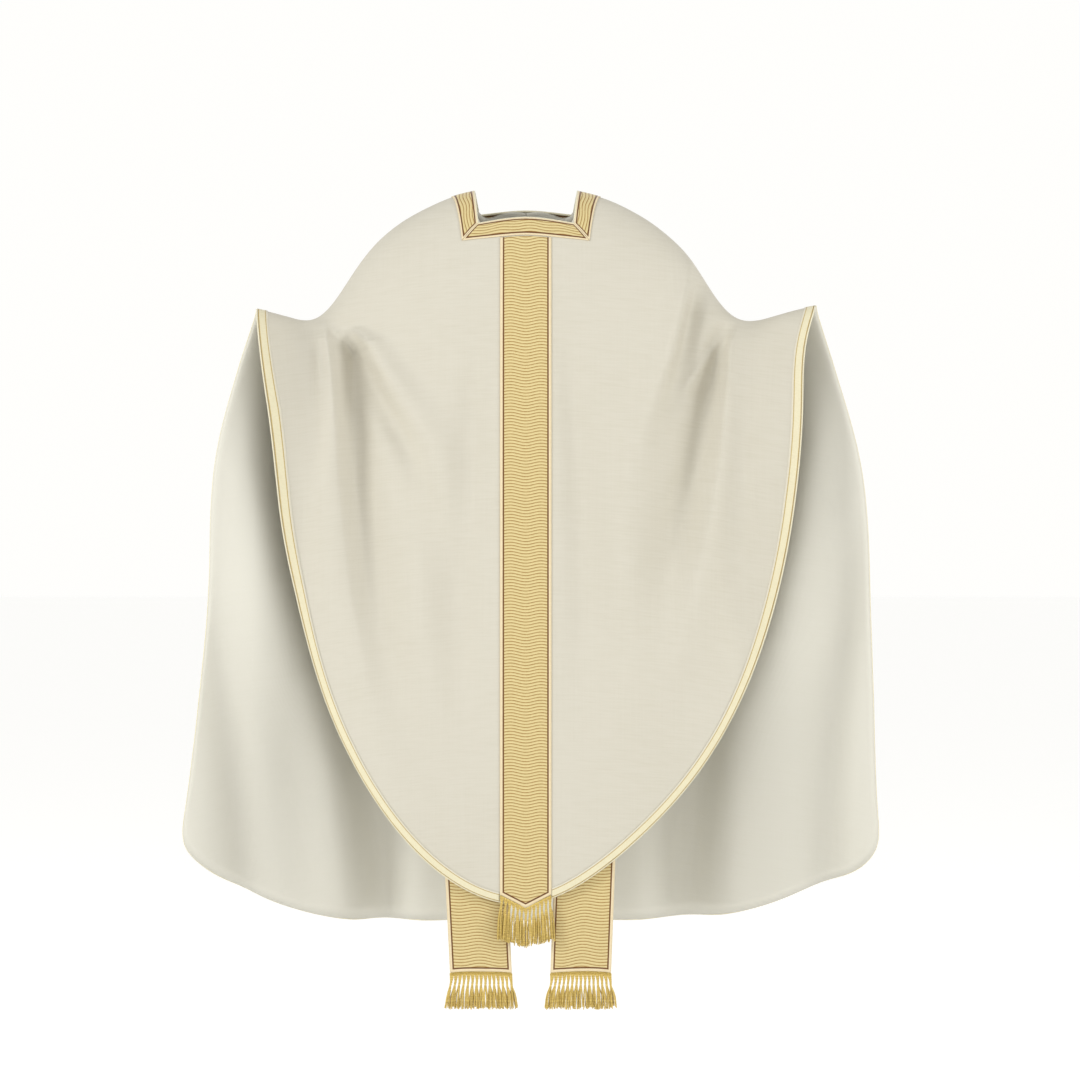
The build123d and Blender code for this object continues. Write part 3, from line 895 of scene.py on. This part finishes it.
# %% Stole and its backing
STOLE_END_Z = -1365
STOLE_ENDS = {1: (43, 149), -1: (-24, -132)}
STOLE_SHOULDER = (95, 203)
STOLE_LEVELS = (-1365, -1000, -650, -350, -130)
NAPE_INNER = [(91, -12), (78, -50), (42, -80), (0.4, -88)]
NAPE_OUTER = [(194, -52), (160, -112), (90, -168), (0.4, -196)]
STOLE_WIDTH = 0.107
STOLE_LIFT = -11.4
BACKING_LIFT = -12.6
# q runs far slower than x, so it is stretched while a curve is drawn through (x, q)
Q_STRETCH = 12


def stole_rail(end_x, shoulder_x, nape, way, count):
    """One long edge of half the stole, from its end to the nape."""
    points = []
    for z in STOLE_LEVELS:
        x = end_x + (way * shoulder_x - end_x) * (z - STOLE_END_Z) / -STOLE_END_Z
        points.append((x, Q_STRETCH * float(drop(x, z, 1))))
    points.append((way * shoulder_x, 0))
    points += [(way * x, Q_STRETCH * float(drop(way * x, z, -1))) for x, z in nape]
    curve = spline(points, 900)
    return even(np.stack([curve[:, 0], curve[:, 1] / Q_STRETCH], -1), count)


def stole_half(way, lift, columns):
    """Half the stole as points and weave vectors."""
    near, far = STOLE_ENDS[way]
    inner = stole_rail(near, STOLE_SHOULDER[0], NAPE_INNER, way, 620)
    outer = stole_rail(far, STOLE_SHOULDER[1], NAPE_OUTER, way, 620)
    grid = fan(inner, outer, columns)
    points = lifted(grid[..., 0], grid[..., 1], np.full(grid.shape[:2], lift))
    gone = distances(points[:, columns // 2])
    wide = np.linspace(0, STOLE_WIDTH, columns)[None, :]
    wide, far_on = np.broadcast_arrays(wide, gone[:, None])
    above_end = points[..., 2] - points[0, :, 2][None, :]
    weave = np.stack([wide, far_on, np.where(far_on < 0.3, above_end, 1.0)], -1)
    return (points, weave) if way > 0 else (points[::-1], weave[::-1])


stole_ends = {}
for word, way in (("left", 1), ("right", -1)):
    points, weave = stole_half(way, STOLE_LIFT, 31)
    face = grid_object(
        f"stole_face_{word}", points[::-1], weave[::-1], 1.0, STOLE, "stole")
    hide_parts(f"stole_{word}")
    stole_ends[word] = points[0] if way > 0 else points[-1]
    points, weave = stole_half(way, BACKING_LIFT, 21)
    back = grid_object(
        f"stole_lining_{word}", points[::-1], weave[::-1], 0.6, LINING, "stole")
    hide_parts(f"stole_backing_{word}")
    print(face.name, "is", round(float(area_of(points)) / STOLE_WIDTH, 2), "m long")

# %% [markdown]
# ## Fringes
# A fringe starts as cut cords on a narrow woven heading. The maker gathers a few cords,
# ties them in a knot under the heading and lets the rest fall. Each cord here is two
# strands twisted round each other, which is what gives real fringe its rough sparkle.

# %% Fringe helpers
def twisted(path, radius, pitch, phase):
    """Two strands that twist round a path."""
    path = np.asarray(path, float)
    run = np.gradient(path, axis=0)
    run /= np.linalg.norm(run, axis=1, keepdims=True)
    side = np.cross(run, [0.0, 1.0, 0.0])
    side /= np.linalg.norm(side, axis=1, keepdims=True)
    other = np.cross(run, side)
    gone = distances(path)
    strands = []
    for half in (0, math.pi):
        turn = gone * 2 * math.pi / pitch + phase + half
        offset = side * np.cos(turn)[:, None] + other * np.sin(turn)[:, None]
        strands.append(tube(path + offset * radius * 0.8, radius, 5))
    return strands


def ball(center, wide, tall, rings=7, sides=10):
    """A knot: a squat ball with its axis upright."""
    angles = np.linspace(-math.pi / 2 * 0.98, math.pi / 2 * 0.98, rings)
    level = np.zeros(rings)
    path = np.array(center) + np.stack([level, level, -np.sin(angles) * tall], -1)
    return tube(path, np.cos(angles) * wide, sides)


def tassel(chance, top, foot, knot_drop, cords, spread, cord_radius):
    """Cords that leave the heading, meet in a knot and fall to the foot."""
    parts = []
    top, foot = np.array(top), np.array(foot)
    knot = top + (foot - top) * (knot_drop / np.linalg.norm(foot - top))
    parts.append(ball(knot, 0.0019, 0.0022))
    for k in range(cords):
        share = (k + 0.5) / cords * 2 - 1
        start = top + np.array([share * spread * 0.8, chance.uniform(-0.4, 0.4) * spread * 0.3, 0])
        turn = 2 * math.pi * (k / cords) + chance.uniform(-0.4, 0.4)
        wide = spread * chance.uniform(0.55, 1.15)
        end = foot + np.array([math.cos(turn) * wide, math.sin(turn) * wide * 0.75,
                               chance.uniform(-0.0035, 0.0035)])
        bow = np.array([chance.uniform(-1, 1), chance.uniform(-1, 1), 0]) * 0.0011
        at_knot = knot + np.array([math.cos(turn), math.sin(turn), 0]) * 0.0011
        t = np.linspace(0, 1, 42)[:9, None]
        upper = start * (1 - t * 42 / 9) + at_knot * t * 42 / 9
        u = np.linspace(0, 1, 34)[1:, None]
        lower = at_knot + (end - at_knot) * (u * 0.85 + 0.15 * u * u) + bow * np.sin(u * math.pi)
        swell = np.sin(np.clip(u * 1.5, 0, 1) * math.pi / 2)
        lower[:, :2] += (end - at_knot)[:2] * (swell - u) * 0.5
        parts += twisted(np.vstack([upper, lower]), cord_radius, 0.0042, turn)
    return parts


def heading(x0, x1, top_at, y, tall):
    """The narrow woven strip at the top of a fringe."""
    x = np.linspace(x0, x1, 61)
    top = np.array([top_at(v) for v in x])
    parts = []
    for row, drop_by in enumerate(np.linspace(0.0010, tall - 0.0010, 2)):
        path = np.stack([x, np.full_like(x, y), top - drop_by], -1)
        path[:, 1] += np.sin(np.arange(len(x)) * math.pi * 0.5 + row * math.pi) * 0.0002
        parts.append(tube(path, 0.0010, 8))
    return parts


def tassel_row(count, middle, half, y, top_at, foot_at, flare, knot_drop, spread):
    """Tassels at even steps; top_at gives z at x, and foot_at gives z at -1 to 1."""
    parts = []
    for i in range(count):
        share = (2 * i + 1) / count - 1
        x = middle + share * half
        top = (x, y, top_at(x))
        foot = (x + share * flare, y - 0.001, foot_at(share))
        parts += tassel(chance, top, foot, knot_drop, 10, spread, 0.00070)
    return parts


chance = random.Random(12)
sample = tassel(chance, (0, 0, 0), (0, 0, -0.06), 0.012, 8, 0.003, 0.0006)
print("a sample tassel of 8 cords has", len(sample), "parts")

# %% [markdown]
# The column's fringe follows its pointed foot, so each tassel starts where the foot is
# above it. The tassels spread a little towards the sides.

# %% Front fringe
def front_y(x, z, lift):
    """y of the lifted front at x and z, in metres."""
    q = np.sqrt(arm_line(np.array(float(x)))[1] - z)
    return float(lifted(np.array(float(x)), q, np.array(float(lift)))[1])


SIDE_Z, POINT_Z = (z - 0.6 for z in COLUMN_END[1])


def column_foot(x):
    """z of the column's foot at x, in metres."""
    return (POINT_Z + (SIDE_Z - POINT_Z) * abs(x) / 0.045) * MM


HEADING_HEIGHT = 0.0036
plane = front_y(0, POINT_Z, 0.6) - 0.0012
parts = heading(-0.0445, 0.0445, column_foot, plane, HEADING_HEIGHT)
parts += tassel_row(
    13, 0, 0.045, plane, lambda x: column_foot(x) - 0.003,
    lambda share: (-1318 + 13 * abs(share)) * MM, flare=0.005, knot_drop=0.014, spread=0.0042)
front_tassels = joined("column_fringe", parts, GOLD, "chasuble")
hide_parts("front_fringe")
print("front fringe faces:", len(front_tassels.data.polygons))

# %% [markdown]
# The stole's fringes have their knots set lower than the column's, and they flare more.
# Each hangs from the end of its own half, so the heading follows the bend of that end.

# %% Stole fringes
for word, way in (("left", 1), ("right", -1)):
    near, far = (v * MM for v in sorted(STOLE_ENDS[way]))
    y = front_y((near + far) / 2 / MM, STOLE_END_Z, -14.0) + 0.0008
    end_x, end_z = np.array(sorted((p[0], p[2]) for p in stole_ends[word])).T
    parts = heading(
        near + 0.0005, far - 0.0005, lambda x: np.interp(x, end_x, end_z) + 0.001, y,
        HEADING_HEIGHT)
    parts += tassel_row(
        15, (near + far) / 2, (far - near) / 2, y,
        lambda x: float(np.interp(x, end_x, end_z)) - 0.002,
        lambda share: -1.4265, flare=0.009, knot_drop=0.024, spread=0.0047)
    piece = joined(f"stole_tassels_{word}", parts, GOLD, "stole")
    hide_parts(f"stole_fringe_{word}")
    print(piece.name, "faces:", len(piece.data.polygons))

# %% [markdown]
# ## What each sheet was before it was sewn
# A cutter thinks in flat sizes. Each half of the bell is a large quarter of a rounded
# shape, the column and stole are straight strips, and the neck band comes from a narrow
# strip cut at the mitres. No pattern is at hand, so these sizes are rounded from measures
# of the hung sheets themselves.

# %% Flat sizes
# width, length and area of each large half
FLAT = {
    "front": (0.56, 1.34, 0.52),
    "back": (0.70, 1.40, 0.80),
}
for cloth in cloths:
    place, word = cloth.name.split("_")[0], cloth.name.split("_")[2]
    wide, long, area = FLAT[place]
for lining in linings:
    wide, long, area = FLAT[lining.name.split("_")[0]]
print("declared", len(cloths) + len(linings), "large sheets")

# %% [markdown]
# The strips are simple: here only each strip of the neck band gets a length.

# %% Narrow strips
for piece in bands:
    long = {"front": 0.21, "back": 0.22}.get(piece.name.split("_")[1], 0.19)

# %% [markdown]
# ## Light, floor and camera
# White vestments need gentle light or they turn to paper: a bright room, and one soft
# light on each side, so that every long fold shows a lit flank and a shaded one. The floor
# is wide and pale. It gives off some light of its own, so that it comes out about as
# white as the room behind it.

# %% Floor
FLOOR_HEIGHT = -1.58
FLOOR_REACH = 60


def pale_floor(height, reach):
    """A wide pale floor."""
    corners = [(-reach, -reach, height), (reach, -reach, height),
               (reach, reach, height), (-reach, reach, height)]
    mesh = bpy.data.meshes.new("floor")
    mesh.from_pydata(corners, [], [(0, 1, 2, 3)])
    piece = bpy.data.objects.new("floor", mesh)
    bpy.context.scene.collection.objects.link(piece)
    paper = bpy.data.materials.new("pale floor")
    paper.use_nodes = True
    shader = paper.node_tree.nodes["Principled BSDF"]
    shader.inputs["Base Color"].default_value = (0.7, 0.7, 0.695, 1)
    shader.inputs["Emission Color"].default_value = (1, 0.995, 0.98, 1)
    shader.inputs["Emission Strength"].default_value = 0.5
    shader.inputs["Roughness"].default_value = 0.9
    shader.inputs["Specular IOR Level"].default_value = 0.1
    mesh.materials.append(paper)
    return piece


pale_floor(FLOOR_HEIGHT, FLOOR_REACH)
print("the floor lies at", FLOOR_HEIGHT, "m")

# %% [markdown]
# Both lights stand well above the shoulders, in front, and are faintly cool. The room
# is brightest near the horizon and dimmer overhead. The camera stands straight in front,
# seven metres away, so that the sides stay nearly parallel.

# %% Lights and camera
CAMERA_DISTANCE = 7.0
VIEW_WIDTH = 1.922
GARMENT_MIDDLE = (0, 0, -0.6)


def area_light(name, place, aim, size, power):
    """A soft square light that looks at a point."""
    lamp = bpy.data.lights.new(name, "AREA")
    lamp.shape = "SQUARE"
    lamp.size = size
    lamp.energy = power
    lamp.color = (0.97, 0.985, 1.0)
    holder = bpy.data.objects.new(name, lamp)
    holder.location = place
    away = Vector(place) - Vector(aim)
    holder.rotation_euler = away.to_track_quat("Z", "Y").to_euler()
    bpy.context.scene.collection.objects.link(holder)


area_light("key", (-4.2, -2.9, 1.7), GARMENT_MIDDLE, 1.5, 128)
area_light("side", (4.4, -2.6, 1.3), GARMENT_MIDDLE, 1.5, 90)

world = bpy.data.worlds.new("room")
world.use_nodes = True
links = world.node_tree.links
room = world.node_tree.nodes["Background"]
room.inputs["Color"].default_value = (1, 0.995, 0.975, 1)
direction = world.node_tree.nodes.new("ShaderNodeTexCoord")
parts_of = world.node_tree.nodes.new("ShaderNodeSeparateXYZ")
fade = world.node_tree.nodes.new("ShaderNodeMapRange")
fade.interpolation_type = "SMOOTHSTEP"
for socket, value in (("From Min", 0.14), ("From Max", 0.5), ("To Min", 1.0), ("To Max", 0.62)):
    fade.inputs[socket].default_value = value
links.new(direction.outputs["Generated"], parts_of.inputs[0])
links.new(parts_of.outputs["Z"], fade.inputs["Value"])
links.new(fade.outputs["Result"], room.inputs["Strength"])
bpy.context.scene.world = world

camera = bpy.data.objects.new("camera", bpy.data.cameras.new("camera"))
camera.location = (0.025, -CAMERA_DISTANCE, -0.611)
camera.rotation_euler = (math.pi / 2, 0, 0)
camera.data.sensor_width = 36
camera.data.lens = 36 * CAMERA_DISTANCE / VIEW_WIDTH
bpy.context.scene.collection.objects.link(camera)
bpy.context.scene.camera = camera
bpy.context.scene.view_settings.view_transform = "Standard"
print("lens:", round(camera.data.lens, 1), "mm")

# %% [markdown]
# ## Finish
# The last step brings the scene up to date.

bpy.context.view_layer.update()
